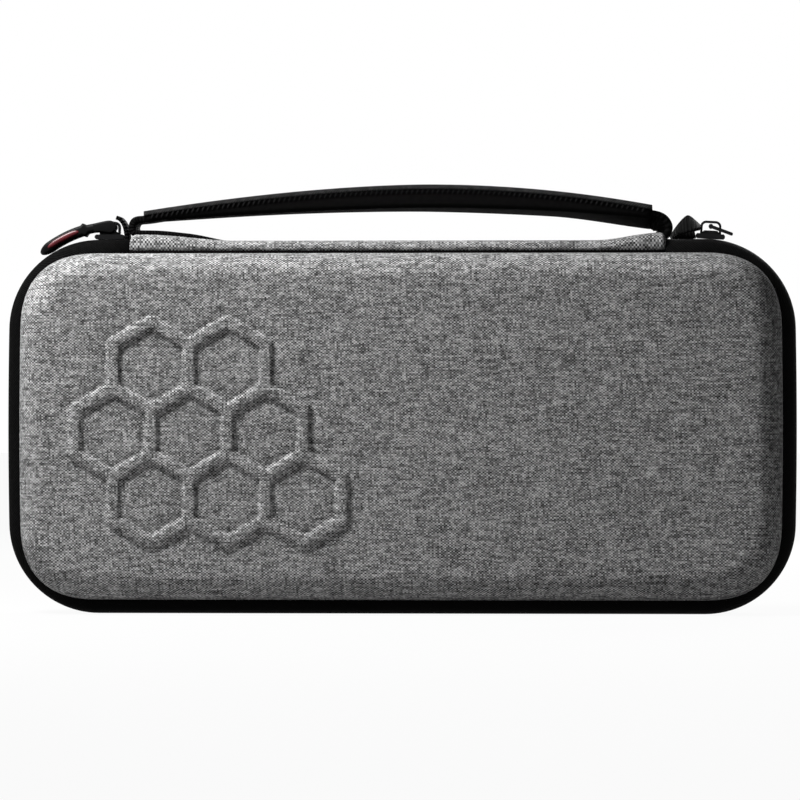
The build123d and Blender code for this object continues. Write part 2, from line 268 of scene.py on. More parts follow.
def twill_fabric(name, colour, pitch, slope=1.0, depth=0.16, rough=0.75, wobble=0.25):
    """Dark tape with fine diagonal or straight ribs."""
    material, tree, shader = new_material(name, Roughness=rough)
    shader.inputs["Specular IOR Level"].default_value = 0.02
    u, v = uv_axes(tree)
    drift = noise(tree, vector(tree, u, v), 0.6, 2.0)
    run = calc(tree, "ADD", u, calc(tree, "MULTIPLY", v, slope))
    run = calc(tree, "ADD", run, calc(tree, "MULTIPLY", drift, wobble))
    rib = calc(tree, "SINE", calc(tree, "MULTIPLY", run, 2 * math.pi / pitch))
    slant = calc(tree, "SUBTRACT", v, u)
    cross = calc(tree, "SINE", calc(tree, "MULTIPLY", slant, 2 * math.pi / (0.7 * pitch)))
    height = calc(tree, "ADD", rib, calc(tree, "MULTIPLY", cross, 0.3))
    shade = calc(tree, "ADD", calc(tree, "MULTIPLY", rib, 0.25), drift)
    stops = [(0.2, grey(colour * 0.45)), (0.55, grey(colour)), (0.95, grey(colour * 2.1))]
    tree.links.new(ramp(tree, shade, stops), shader.inputs["Base Color"])
    set_bump(tree, shader, height, depth * MM, 0.8)
    return material


def object_noise_material(name, colour, rough, scale, bump, gloss=0.5, spread=0.35, **sockets):
    """Moulded, painted or brushed surface with a faint grain in its colour, roughness and relief."""
    material, tree, shader = new_material(name, **sockets)
    shader.inputs["Specular IOR Level"].default_value = gloss
    place = add_node(tree, "ShaderNodeTexCoord").outputs["Object"]
    grain = noise(tree, place, scale, 4.0, 0.6)
    low = tuple(c * (1 - spread) for c in colour)
    high = tuple(min(1.0, c * (1 + spread)) for c in colour)
    tree.links.new(ramp(tree, grain, [(0.3, low), (0.7, high)]), shader.inputs["Base Color"])
    rough_value = calc(tree, "MULTIPLY_ADD", grain, 0.2, rough - 0.1)
    tree.links.new(rough_value, shader.inputs["Roughness"])
    set_bump(tree, shader, grain, bump * MM, 0.6)
    return material


HEATHER = [
    (0.0, grey(0.014)), (0.25, grey(0.055)), (0.50, grey(0.140)), (0.75, grey(0.29)), (1.0, grey(0.46)),
]
shell_cloth = heather_fabric("shell_cloth", 0.60, 0.48, HEATHER)
binding_cloth = twill_fabric("binding_cloth", 0.0020, 1.0)
tape_cloth = twill_fabric("tape_cloth", 0.0020, 0.6, slope=0.4, depth=0.08)
webbing_cloth = twill_fabric("webbing_cloth", 0.0022, 1.1, slope=0.0, depth=0.14)
sleeve_cloth = twill_fabric("sleeve_cloth", 0.0020, 0.8, slope=0.8, depth=0.08)
# The cover's grey is partly its own darker grey cloth and partly a painted highlight for the light its top
# catches.
cover_cloth_with_highlight = twill_fabric("cover_cloth_with_highlight", 0.026, 0.9, slope=1.0, depth=0.15)
ribbon_cloth = twill_fabric("ribbon_cloth", 0.0030, 1.15, slope=0.0, depth=0.35, rough=0.7, wobble=0.1)
pocket_cloth = twill_fabric("pocket_cloth", 0.012, 0.9, slope=0.6, depth=0.1)
elastic_cloth = twill_fabric("elastic_cloth", 0.016, 0.8, slope=0.0, depth=0.25, wobble=0.1)
net_thread = object_noise_material("net_thread", (0.014, 0.014, 0.0145), 0.8, 2500.0, 0.05, gloss=0.1)
lining_cloth = object_noise_material("lining_cloth", (0.04, 0.04, 0.043), 0.9, 900.0, 0.15, gloss=0.05)
teeth_plastic = object_noise_material("teeth_plastic", (0.004, 0.004, 0.0045), 0.45, 600.0, 0.02, 0.15)
slider_paint = object_noise_material("slider_paint", (0.003, 0.003, 0.0033), 0.45, 500.0, 0.02, gloss=0.12)
pull_plastic = object_noise_material("pull_plastic", (0.0025, 0.0025, 0.0025), 0.5, 250.0, 0.01, gloss=0.06)
pull_red = object_noise_material("pull_red", (0.062, 0.003, 0.006), 0.36, 200.0, 0.01, gloss=0.25)
stitch_thread = object_noise_material("stitch_thread", (0.006, 0.006, 0.0063), 0.8, 3000.0, 0.03, gloss=0.1)


# Shells
GRID_FINE = 0.45
GRID_COARSE = 5.0
EDGE_RADIUS = 9.0
DRAFT = math.radians(3)
WALL = 3.0
CROWN = 0.25
CORNER_FULLNESS = 1.6
FLAT_GROW = -(EDGE_RADIUS + (FACE_DEPTH - RIM_DEPTH - EDGE_RADIUS) * math.sin(DRAFT)) / math.cos(DRAFT)
CELL_RADIUS = 15.0
RIDGE_HALF = 2.1
RIDGE_HEIGHT = 0.95
PATCH_X = -71.0
PATCH_Z = 62.0
PATCH_CELLS = [(-0.5, 1), (0.5, 1), (-1, 0), (0, 0), (1, 0), (-0.5, -1), (0.5, -1), (1.5, -1)]
PATCH_LEFT, PATCH_RIGHT = -118.0, -14.0


def ridge_relief(x, z):
    """Height of the pressed honeycomb ridges over the flat front."""
    nearest = np.full(x.shape, 1e9)
    for column, row in PATCH_CELLS:
        middle = (PATCH_X + column * CELL_RADIUS * math.sqrt(3), PATCH_Z + row * CELL_RADIUS * 1.5)
        angles = [math.radians(30 + 60 * k) for k in range(6)]
        corners = [
            (middle[0] + CELL_RADIUS * math.cos(a), middle[1] + CELL_RADIUS * math.sin(a)) for a in angles
        ]
        for (ax, az), (bx, bz) in zip(corners, corners[1:] + corners[:1]):
            dx, dz = bx - ax, bz - az
            t = np.clip(((x - ax) * dx + (z - az) * dz) / (dx * dx + dz * dz), 0, 1)
            nearest = np.minimum(nearest, np.hypot(x - ax - t * dx, z - az - t * dz))
    across = np.clip(nearest / (RIDGE_HALF * 1.08), 0, 1)
    ridge = (1 - across**4) ** 0.6
    dip = smooth_step(nearest, RIDGE_HALF * 0.95, RIDGE_HALF * 1.15) * (1 - smooth_step(nearest, 2.6, 5.5))
    return RIDGE_HEIGHT * ridge - 0.3 * dip


def spaced(low, high, step):
    return np.linspace(low, high, max(2, int(round((high - low) / step)) + 1))


def side_point(height, grow=FLAT_GROW):
    """Where the grown outline's right side is at a height over the middle: its x and its outward normal."""
    radius = RIM_RADIUS + grow
    if abs(height) <= (SIDE_RADIUS + grow) * math.sin(TANGENT):
        angle = math.asin(height / (SIDE_RADIUS + grow))
        return SIDE_CENTRE + (SIDE_RADIUS + grow) * math.cos(angle), (math.cos(angle), math.sin(angle))
    rise = max(-1.0, min(1.0, (abs(height) - CORNER_RISE) / radius))
    angle = math.asin(rise)
    return CORNER_X + radius * math.cos(angle), (math.cos(angle), math.copysign(math.sin(angle), height))


def shell_profile():
    """Pairs of grow and depth from the flat front over the edge and the wall to the rim and inside."""
    centre_depth = FACE_DEPTH - EDGE_RADIUS
    arc = [
        (FLAT_GROW + EDGE_RADIUS * math.cos(a), centre_depth + EDGE_RADIUS * math.sin(a))
        for a in np.linspace(math.pi / 2, DRAFT, 15)[1:]
    ]
    rim = [(-0.05, RIM_DEPTH + 0.9), (-0.12, RIM_DEPTH + 0.4), (-0.45, RIM_DEPTH + 0.08)]
    inside = [(-WALL, RIM_DEPTH), (-WALL - 0.2, RIM_DEPTH + 3.0), (-WALL - 6.2, FACE_DEPTH - WALL)]
    return arc, rim, inside


def build_shell(name, side, patch, body):
    fine = GRID_FINE if patch else GRID_COARSE
    left, right = (PATCH_LEFT, PATCH_RIGHT) if patch else (-CORNER_X, CORNER_X)
    columns = np.unique(np.concatenate([
        spaced(-CORNER_X, max(left, -CORNER_X), GRID_COARSE),
        spaced(max(left, -CORNER_X), right, fine),
        spaced(right, CORNER_X, GRID_COARSE),
    ]).round(6))
    side_shares = np.linspace(0, 1, 24)[1:]
    top = HALF_HEIGHT + FLAT_GROW
    turns = np.radians(np.linspace(20, 90, 15))
    ends = CORNER_RISE + (RIM_RADIUS + FLAT_GROW) * np.sin(turns)
    middle_rows = spaced(-ends[0], ends[0], fine)
    rows = np.concatenate([-ends[:0:-1], middle_rows, ends[1:]])[::-1]
    points, normals, grid = [], {}, []
    for row in rows:
        reach, normal = side_point(row)
        closed_row = abs(abs(row) - top) < 1e-6
        left_side = [] if closed_row else [-(CORNER_X + s * (reach - CORNER_X)) for s in side_shares[::-1]]
        right_side = [] if closed_row else [CORNER_X + s * (reach - CORNER_X) for s in side_shares]
        xs = [*left_side, *columns, *right_side]
        start = len(points)
        points += [(x, row) for x in xs]
        ids = list(range(start, start + len(xs)))
        if closed_row:
            ids = [ids[0]] * len(side_shares) + ids + [ids[-1]] * len(side_shares)
            normals.update({i: (0.0, math.copysign(1.0, row)) for i in ids})
        else:
            normals[ids[0]] = (-normal[0], normal[1])
            normals[ids[-1]] = normal
        grid.append(ids)
    flat = np.array(points)
    relief = ridge_relief(flat[:, 0], flat[:, 1] + MIDDLE) if patch else np.zeros(len(flat))
    share_x, share_z = flat[:, 0] / (HALF_WIDTH + FLAT_GROW), flat[:, 1] / (HALF_HEIGHT + FLAT_GROW)
    crown = CROWN * np.clip(1 - share_x**2, 0, 1) * np.clip(1 - share_z**2, 0, 1)
    places = [np.column_stack([flat[:, 0], side * (FACE_DEPTH + crown + relief), flat[:, 1] + MIDDLE])]
    uvs = [flat]
    faces = []
    for upper, lower in zip(grid, grid[1:]):
        for a, b, c, d in zip(upper, upper[1:], lower[1:], lower):
            face = tuple(dict.fromkeys((a, b, c, d)))
            if len(face) > 2:
                faces.append(face)
    loop = [*dict.fromkeys(grid[0]), *[r[-1] for r in grid[1:-1]], *[*dict.fromkeys(grid[-1])][::-1],
            *[r[0] for r in grid[-2:0:-1]]]
    base = flat[loop]
    outward = np.array([normals[i] for i in loop])
    fullness = CORNER_FULLNESS * (2 * outward[:, 0] * outward[:, 1]) ** 2
    arc, rim, inside = shell_profile()
    run, last, ring, total = 0.0, (FLAT_GROW, FACE_DEPTH), loop, len(flat)
    lining_from = None
    for number, (grow, depth) in enumerate([*arc, *rim, *inside]):
        run += math.hypot(grow - last[0], depth - last[1])
        last = (grow, depth)
        fuller = fullness * min(1.0, number / len(arc)) * (number < len(arc) + len(rim))
        moved = base + outward * (grow - FLAT_GROW + fuller)[:, None]
        level = np.full(len(loop), side * depth)
        places.append(np.column_stack([moved[:, 0], level, moved[:, 1] + MIDDLE]))
        uvs.append(base + outward * run)
        fresh = list(range(total, total + len(loop)))
        if number == len(arc) + len(rim):
            lining_from = len(faces)
        for j in range(len(loop)):
            k = (j + 1) % len(loop)
            faces.append((ring[j], ring[k], fresh[k], fresh[j]))
        ring, total = fresh, total + len(loop)
    faces.append(tuple(ring))
    points, uvs = np.vstack(places), np.vstack(uvs)
    loop_uv = np.vstack([uvs[list(face)] for face in faces])
    face_material = [0 if i < lining_from else 1 for i in range(len(faces))]
    cloths = [shell_cloth, lining_cloth]
    made = add_piece(name, points, faces, loop_uv, body, "shell_fabric", cloths, face_material)
    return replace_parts(made, name.replace("_visual", ""))


build_shell("lid_shell_visual", -1, True, "lid")
build_shell("base_shell_visual", 1, False, "base")


# Zip band
def band_path(left_end, right_end, step=2.0):
    """Rim points and outward normals from the left end on top round the bottom to the right end."""
    points, normals = [], []

    def arc(centre, radius, start, stop, count):
        for angle in np.linspace(start, stop, count):
            normals.append((math.cos(angle), math.sin(angle)))
            points.append((centre[0] + radius * math.cos(angle), centre[1] + radius * math.sin(angle)))

    def line(start, stop, level, normal):
        for x in spaced(start, stop, step):
            points.append((x, level))
            normals.append(normal)

    def end_angle(end):
        """Angle at which the corner starts: a quarter turn, or less where the end lies past its start."""
        return math.acos(max(0.0, end - CORNER_X) / (RIM_RADIUS + BAND_BULGE))

    quarter, turn = math.pi / 2, 28
    if left_end < CORNER_X:
        line(-left_end, -CORNER_X, HALF_HEIGHT, (0.0, 1.0))
    arc((-CORNER_X, CORNER_RISE), RIM_RADIUS, math.pi - end_angle(left_end), math.pi - TANGENT, turn)
    arc((-SIDE_CENTRE, 0.0), SIDE_RADIUS, math.pi - TANGENT, math.pi + TANGENT, turn)
    arc((-CORNER_X, -CORNER_RISE), RIM_RADIUS, math.pi + TANGENT, 3 * quarter, turn)
    line(-CORNER_X, CORNER_X, -HALF_HEIGHT, (0.0, -1.0))
    arc((CORNER_X, -CORNER_RISE), RIM_RADIUS, -quarter, -TANGENT, turn)
    arc((SIDE_CENTRE, 0.0), SIDE_RADIUS, -TANGENT, TANGENT, turn)
    arc((CORNER_X, CORNER_RISE), RIM_RADIUS, TANGENT, end_angle(right_end), turn)
    if right_end < CORNER_X:
        line(CORNER_X, right_end, HALF_HEIGHT, (0.0, 1.0))
    points, normals = np.array(points), np.array(normals)
    keep = np.concatenate(([True], np.linalg.norm(np.diff(points, axis=0), axis=1) > 1e-6))
    return points[keep], normals[keep]


def band_rings(path, profile, side):
    """Rings of a profile of grow and depth carried along the path."""
    points, normals = path
    rings = []
    for (x, z), (nx, nz) in zip(points, normals):
        rings.append([(x + nx * grow, side * depth, z + nz * grow + MIDDLE) for grow, depth in profile])
    return np.array(rings)


TAPE_TOP = BAND_BULGE
CHAIN_EDGE = 1.65
FLAP_EDGE = 0.01
TAPE_PROFILE = [
    (TAPE_TOP - 0.25, CHAIN_EDGE), (TAPE_TOP - 0.1, 2.2), (TAPE_TOP - 0.15, 5.0), (TAPE_TOP - 0.35, 9.0),
    (TAPE_TOP - 1.2, 9.6), (TAPE_TOP - 1.25, 5.0), (TAPE_TOP - 1.6, 2.4), (TAPE_TOP - 2.2, CHAIN_EDGE),
    (TAPE_TOP - 2.2, FLAP_EDGE), (TAPE_TOP - 1.75, FLAP_EDGE), (TAPE_TOP - 1.7, CHAIN_EDGE),
]
BINDING_ARC = [
    (TAPE_TOP - 0.55, 6.6), (TAPE_TOP - 0.06, 6.9), (TAPE_TOP, 7.6), (TAPE_TOP - 0.05, 9.0),
    (TAPE_TOP - 0.35, 10.3), (TAPE_TOP - 1.1, 11.7), (TAPE_TOP - 2.3, 12.9), (TAPE_TOP - 3.6, 13.8),
    (TAPE_TOP - 4.7, 14.25), (TAPE_TOP - 5.3, 14.2), (TAPE_TOP - 5.8, 13.4), (TAPE_TOP - 4.0, 12.0),
    (TAPE_TOP - 2.2, 10.2), (TAPE_TOP - 1.4, 8.6),
]


def dense_profile(profile, count):
    """The profile as a smooth closed curve through its points."""
    closed = np.array(profile + profile[:1], float)
    along = running_length(closed)
    wanted = np.linspace(0, along[-1], count, endpoint=False)
    coarse = np.column_stack([np.interp(wanted, along, closed[:, k]) for k in (0, 1)])
    for _ in range(2):
        coarse = (np.roll(coarse, 1, axis=0) + 2 * coarse + np.roll(coarse, -1, axis=0)) / 4
    return [tuple(p) for p in coarse]


for half, side in (("lid", -1), ("base", 1)):
    long_path = band_path(SPINE_LEFT + GAP / 2, SPINE_RIGHT + GAP / 2)
    tape_path = band_path(ZIP_END_FAR + GAP, ZIP_END_FAR + GAP)
    tape_rings = band_rings(tape_path, TAPE_PROFILE, side)
    tape = add_piece(f"{half}_zip_tape_visual", *loft(tape_rings), half, "zip_tape", [tape_cloth])
    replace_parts(tape, f"{half}_zip_tape")
    binding_rings = band_rings(long_path, dense_profile(BINDING_ARC, 40), side)
    add_piece(f"{half}_zip_binding", *loft(binding_rings), half, "zip_tape", [binding_cloth])


# Zip teeth: one bent coil turn after another along each half's chain
TOOTH_PITCH = 1.45


def tooth_ball(length, height, width, count=6, ring_size=8):
    """Closed capsule along the second axis."""
    angles = np.linspace(-math.pi / 2, math.pi / 2, count)
    turn = np.linspace(0, 2 * math.pi, ring_size, endpoint=False)
    rings = [
        np.column_stack([
            width / 2 * np.cos(turn) * max(math.cos(a), 0.15) ** 0.5,
            np.full(ring_size, length / 2 * math.sin(a)),
            height / 2 * np.sin(turn) * max(math.cos(a), 0.15) ** 0.5,
        ])
        for a in angles
    ]
    return loft(rings)


def resample(path, step, shift):
    points, normals = path
    along = running_length(points)
    places = np.arange(shift, along[-1], step)
    out_points = np.column_stack([np.interp(places, along, points[:, k]) for k in (0, 1)])
    out_normals = np.column_stack([np.interp(places, along, normals[:, k]) for k in (0, 1)])
    return out_points, out_normals / np.linalg.norm(out_normals, axis=1)[:, None]


def teeth_along(path, side, shift):
    tooth_points, tooth_faces, tooth_uv = tooth_ball(1.8, 1.5, 0.95)
    parts = []
    for (x, z), (nx, nz) in zip(*resample(path, TOOTH_PITCH, shift)):
        tangent = np.array([nz, 0.0, -nx])
        outward = np.array([nx, 0.0, nz])
        centre = np.array([x, side * 0.8, z + MIDDLE]) + outward * (BAND_BULGE - 0.85)
        placed = (
            centre + tooth_points[:, :1] * tangent + tooth_points[:, 1:2] * np.array([0, 1.0, 0])
            + tooth_points[:, 2:] * outward
        )
        parts.append((placed, tooth_faces, tooth_uv))
    return join_parts(parts)


for half, side, shift in (("lid", -1, 0.4), ("base", 1, 0.4 + TOOTH_PITCH / 2)):
    chain_path = band_path(ZIP_END_FAR + GAP, ZIP_END_FAR + GAP)
    chain = teeth_along(chain_path, side, shift)
    teeth = add_piece(f"{half}_zip_teeth", *chain, half, "zip_teeth", [teeth_plastic])
    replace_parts(teeth, f"{half}_zip_chain")


# Closed zip ends beside the spine
def top_path(near, far, sign, step=1.0):
    """Points and normals along the top band from near to far, over the corner where it reaches that."""
    points, normals = [], []
    for x in spaced(near, far, step):
        if x <= CORNER_X:
            points.append((sign * x, HALF_HEIGHT))
            normals.append((0.0, 1.0))
        else:
            angle = math.acos((x - CORNER_X) / (RIM_RADIUS + BAND_BULGE))
            normals.append((sign * math.cos(angle), math.sin(angle)))
            out, rise = RIM_RADIUS * math.cos(angle), RIM_RADIUS * math.sin(angle)
            points.append((sign * (CORNER_X + out), CORNER_RISE + rise))
    return np.array(points), np.array(normals)


ZIP_END_EDGE = 9.5
for side_name, sign, spine_end in (("left", -1, SPINE_LEFT), ("right", 1, SPINE_RIGHT)):
    path = top_path(spine_end + GAP / 2, ZIP_END_FAR, sign)
    parts = []
    for side in (-1, 1):
        strip = [(grow, min(depth, ZIP_END_EDGE)) for grow, depth in TAPE_PROFILE]
        parts.append(loft(band_rings(path, strip, side)))
    both_tapes = join_parts(parts)
    zip_end = add_piece(f"{side_name}_zip_end_visual", *both_tapes, "spine", "zip_tape", [tape_cloth])
    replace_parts(zip_end, f"{side_name}_zip_end")
    teeth_parts = [teeth_along(path, -1, 0.4), teeth_along(path, 1, 0.4 + TOOTH_PITCH / 2)]
    add_piece(f"{side_name}_zip_end_teeth", *join_parts(teeth_parts), "spine", "zip_teeth", [teeth_plastic])


# Spine cloth: a rolled hem on each side of the fold, joined along the middle
HEM_ARC = [
    (-0.9, 12.2), (0.1, 13.0), (0.9, 13.75), (1.8, 14.0), (2.8, 13.7), (3.6, 12.9), (4.1, 11.7),
    (4.35, 10.2), (4.4, 8.0), (4.4, 5.0), (4.35, 2.0), (4.35, 0.0),
]
HEM_THICKNESS = 1.0
HEM_ROUND = 2.2
# Radius of the black cord that paints the groove's shade.
GROOVE_CORD_RADIUS = 0.75


def spine_lift(x):
    """How far the handle's feet draw the cloth up towards the two ends."""
    return 2.1 * smooth_step(-x, 56, 88) + 2.6 * smooth_step(x, 66, 89)


def spine_stations():
    low, high, near = -SPINE_LEFT, SPINE_RIGHT, 3.0
    return np.unique(np.concatenate([
        spaced(low, low + near, 0.3), spaced(low + near, high - near, 1.5), spaced(high - near, high, 0.3),
    ]).round(6))


def hem_rings(side):
    outer = np.array(HEM_ARC)
    share = smooth_step(outer[:, 0], 0.3, 4.2)
    rings = []
    for x in spine_stations():
        near_end = float(np.clip(min(x + SPINE_LEFT, SPINE_RIGHT - x) / HEM_ROUND, 0, 1))
        drop = HEM_ROUND * (1 - math.sqrt(1 - (1 - near_end) ** 2))
        lift = float(spine_lift(x)) * smooth_step(outer[:, 1], -2, 9)
        grow = outer[:, 0] + share * (lift - 0.8 * drop)
        depth = side * (outer[:, 1] - 0.3 * drop)
        top = np.column_stack([np.full(len(outer), x), depth, grow + HALF_HEIGHT + MIDDLE])
        under = top.copy()
        under[:, 2] -= share * (HEM_THICKNESS + 0.8 * lift)
        under[:, 1] -= side * HEM_THICKNESS * (1 - share)
        rings.append(np.vstack([top, under[::-1]]))
    return rings


for half, side in (("lid", -1), ("base", 1)):
    rows = 2 * len(HEM_ARC)
    points, faces, loop_uv = loft(hem_rings(side))
    lined = [int(i < len(faces) - 2 and len(HEM_ARC) <= i % rows < rows - 1) for i in range(len(faces))]
    cloths = [shell_cloth, lining_cloth]
    hem = add_piece(f"{half}_spine_cloth", points, faces, loop_uv, None, "shell_fabric", cloths, lined)
    if half == "lid":
        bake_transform(hem)
        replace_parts(hem, "lid_spine_hem", "spine_panel")
    else:
        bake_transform(hem)
        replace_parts(hem, "base_spine_hem")
    # A thin black cord along the groove where each hem meets its shell: painted shade that darkens the
    # groove.
    turn = np.linspace(0, 2 * math.pi, 12, endpoint=False)
    groove_cord_rings = [
        np.column_stack([
            np.full(12, x),
            side * (13.3 + GROOVE_CORD_RADIUS * np.cos(turn)),
            HALF_HEIGHT + MIDDLE + 0.35 + GROOVE_CORD_RADIUS * np.sin(turn),
        ])
        for x in spaced(-SPINE_LEFT, SPINE_RIGHT, 4.0)
    ]
    add_piece(f"{half}_spine_groove_cord", *loft(groove_cord_rings), half, "zip_tape", [binding_cloth])


# Handle: padded sleeve on webbing, with a cover strip on top
pad_low, pad_high = (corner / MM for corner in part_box("handle_pad"))
HANDLE_WIDTH = pad_high.y - pad_low.y
COVER = 1.5
PEAK_X = 9.0
PEAK_TOP = pad_high.z + COVER
COVER_LEFT, COVER_RIGHT = -88.2, 85.8
TOP_LEFT, TOP_RIGHT = 137.7, 139.6
PAD_LEFT, PAD_MIDDLE, PAD_RIGHT = 1.9, 6.3, 2.9


def handle_share(x):
    """How far along from the handle's peak to its end, from 0 to 1."""
    return (PEAK_X - x) / (PEAK_X - COVER_LEFT) if x < PEAK_X else (x - PEAK_X) / (COVER_RIGHT - PEAK_X)


def cover_top(x):
    """Height of the cover's front edge: it hangs lower at its left end."""
    end, power = (TOP_LEFT, 1.72) if x < PEAK_X else (TOP_RIGHT, 2.0)
    return PEAK_TOP - (PEAK_TOP - end) * handle_share(x) ** power


def pad_thickness(x):
    end = PAD_LEFT if x < PEAK_X else PAD_RIGHT
    return end + (PAD_MIDDLE - end) * (1 - handle_share(x) ** 2)


def handle_twist(x):
    """Turn of the handle about its length: level on the left, its front edge raised on the right."""
    return math.radians(5.0 * float(smooth_step(x, -60, 60)) + 6.5 * float(smooth_step(x, 50, 88)))


def turned(x, y, z):
    """Point of the handle's section, z down from the cover's top, turned by the twist."""
    angle = handle_twist(x)
    level = cover_top(x) - HANDLE_WIDTH / 2 * math.sin(angle)
    return x, y * math.cos(angle) + z * math.sin(angle), level + z * math.cos(angle) - y * math.sin(angle)


def handle_rings(width, start, stop, span, radius, crown=0.0):
    """Sections between two depths under the cover's top, each a function of the place along the handle."""
    rings = []
    for x in spaced(*span, 1.5):
        height = start(x) - stop(x)
        section = rounded_section(width, height, radius, 6)
        swell = crown * (1 - (2 * section[:, 0] / width) ** 2)
        rings.append([
            turned(x, y, stop(x) + height / 2 + z + s * np.sign(z)) for (y, z), s in zip(section, swell)
        ])
    return rings


def under_cover(x):
    return -COVER + 0.1


def pad_bottom(x):
    return -COVER - pad_thickness(x)


pad_span = (COVER_LEFT + 1.0, COVER_RIGHT - 1.0)
pad_rings = handle_rings(HANDLE_WIDTH - 0.8, under_cover, pad_bottom, pad_span, 1.6, 0.3)
sleeve = add_piece("handle_pad_visual", *loft(pad_rings), "spine", "webbing", [sleeve_cloth])
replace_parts(sleeve, "handle_pad")
# Cover strip whose lighter grey carries a painted highlight along the handle's top.
cover_rings = handle_rings(HANDLE_WIDTH, lambda x: 0.0, lambda x: -COVER, (COVER_LEFT, COVER_RIGHT), 0.3)
cover = add_piece("handle_cover_visual", *loft(cover_rings), "spine", "cover_fabric", [cover_cloth_with_highlight])
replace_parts(cover, "handle_cover")

STITCH_PITCH = 1.75
STITCH_LEAN = 0.9
STITCH_DROP = 1.5


def stitch(start, stop, outward, radius=0.26, lift=0.2):
    """One sewn thread between two points, thickest and highest in its middle."""
    along = (stop - start) / np.linalg.norm(stop - start)
    across = np.cross(along, outward)
    angles = np.linspace(0, 2 * math.pi, 8, endpoint=False)
    rings = []
    for share in np.linspace(0, 1, 5):
        arch = math.sin(math.pi * share)
        middle = start + share * (stop - start) + outward * lift * arch
        thick = radius * (0.6 + 0.4 * arch)
        rings.append([middle + thick * (math.cos(a) * across + math.sin(a) * outward) for a in angles])
    return loft(rings)


stitch_parts = []
for x in np.arange(COVER_LEFT + 2.5, COVER_RIGHT - 2.5, STITCH_PITCH):
    for side in (-1, 1):
        front = side * (HANDLE_WIDTH / 2 - 0.35)
        high = np.array(turned(x + STITCH_LEAN, front, -COVER + 0.15))
        low = np.array(turned(x, front, -COVER - STITCH_DROP))
        stitch_parts.append(stitch(high, low, np.array([0.0, side, 0.0])))
add_piece("handle_stitches", *join_parts(stitch_parts), "spine", "cover_fabric", [stitch_thread])

STRAP_WIDTH = 18.0
STRAP = 2.4
LEFT_STRAP = [
    (-74, 137.4), (-84, 135.6), (-88.0, 135.0), (-91.4, 134.8), (-92.4, 133.0), (-92.4, 131.4),
    (-91.6, 130.0), (-88, 130.0), (-82, 129.9), (-74, 129.0), (-66, 128.1), (-59, 127.1),
]
RIGHT_STRAP = [
    (72, 138.0), (80, 136.3), (85.0, 135.1), (88.2, 133.9), (89.4, 132.0), (89.3, 130.0), (87.6, 128.9),
    (84, 128.3), (76, 127.6), (64, 127.1),
]


def smooth_line(control, rounds=4):
    """Corner-cut curve through the span of a few points."""
    line = np.array(control, float)
    for _ in range(rounds):
        cut = [line[0]]
        for a, b in zip(line, line[1:]):
            cut += [0.75 * a + 0.25 * b, 0.25 * a + 0.75 * b]
        line = np.array([*cut, line[-1]])
    return line


def strip_rings(line, width, thickness_at, turn_at):
    """Flat woven strip along a line in the x-z plane, turned about its own length."""
    slope = np.gradient(line, axis=0)
    slope /= np.linalg.norm(slope, axis=1)[:, None]
    along = running_length(line)
    level = np.array([0.0, 1.0, 0.0])
    rings = []
    for (x, z), (tx, tz), run in zip(line, slope, along):
        turn, thickness = turn_at(run / along[-1]), thickness_at(run / along[-1])
        outward = np.array([-tz, 0.0, tx])
        wide = level * math.cos(turn) - outward * math.sin(turn)
        thick = outward * math.cos(turn) + level * math.sin(turn)
        section = rounded_section(width, thickness, 0.35 * thickness, 3)
        rings.append([np.array([x, 0.0, z]) + a * wide + b * thick for a, b in section])
    return rings


def right_strap_turn(share):
    turn = 10.0 + 7.0 * float(smooth_step(share, 0.2, 0.42))
    return math.radians(turn) * (1 - float(smooth_step(share, 0.40, 0.54)))


def left_strap_thickness(share):
    """Full webbing, pressed thin where its end is sewn in under the spine's cloth."""
    return STRAP * (1 - 0.72 * float(smooth_step(share, 0.74, 1.0)))


def right_strap_thickness(share):
    return STRAP * (1 - 0.72 * float(smooth_step(share, 0.52, 0.72)))


def no_turn(share):
    return 0.0


strap_parts = [
    loft(strip_rings(smooth_line(LEFT_STRAP), STRAP_WIDTH, left_strap_thickness, no_turn)),
    loft(strip_rings(smooth_line(RIGHT_STRAP), STRAP_WIDTH, right_strap_thickness, right_strap_turn)),
]
strap = add_piece("handle_strap_visual", *join_parts(strap_parts), "spine", "webbing", [webbing_cloth])
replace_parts(strap, "handle_strap")


# Ribbon tabs with cross ribs: the left one edge on, the right one leaning to show its face
RIBBON_WIDTH = 10.0
RIBBON = 1.4
LEFT_TAB = [(-94.5, 127.6), (-94.8, 130.6), (-95.4, 133.2), (-96.8, 135.2), (-98.2, 135.7)]
RIGHT_UNDER = [(91.9, 127.4), (94.0, 128.1), (97.0, 128.9), (100.4, 129.7)]
RIGHT_BACK_EDGE = [
    (92.0, 128.6), (93.4, 131.2), (95.4, 134.0), (97.4, 136.0), (98.2, 136.1), (99.6, 134.9),
    (101.2, 133.3), (102.2, 132.4),
]
RIGHT_FRONT_EDGE = [
    (92.6, 127.6), (94.0, 128.5), (96.0, 129.3), (97.8, 130.0), (98.8, 130.4), (100.0, 130.9),
    (101.3, 131.4), (102.2, 131.6),
]
FOLD_HALF = 4.4


def ribbon_thickness(share):
    return RIBBON


def under_thickness(share):
    return 1.2 + 1.3 * share


def ruled_rings(back_edge, front_edge, half, thickness):
    """Ribbon between two edges, one at the back and one at the front."""
    back, front = smooth_line(back_edge, 3), smooth_line(front_edge, 3)
    far = np.column_stack([back[:, 0], np.full(len(back), half), back[:, 1]])
    near = np.column_stack([front[:, 0], np.full(len(front), -half), front[:, 1]])
    slope = np.gradient((far + near) / 2, axis=0)
    rings = []
    for a, b, along in zip(near, far, slope):
        width = np.linalg.norm(b - a)
        wide = (b - a) / width
        thick = np.cross(along, wide)
        thick /= np.linalg.norm(thick)
        section_points = rounded_section(width, thickness, 0.35 * thickness, 3)
        rings.append([(a + b) / 2 + s * wide + t * thick for s, t in section_points])
    return rings


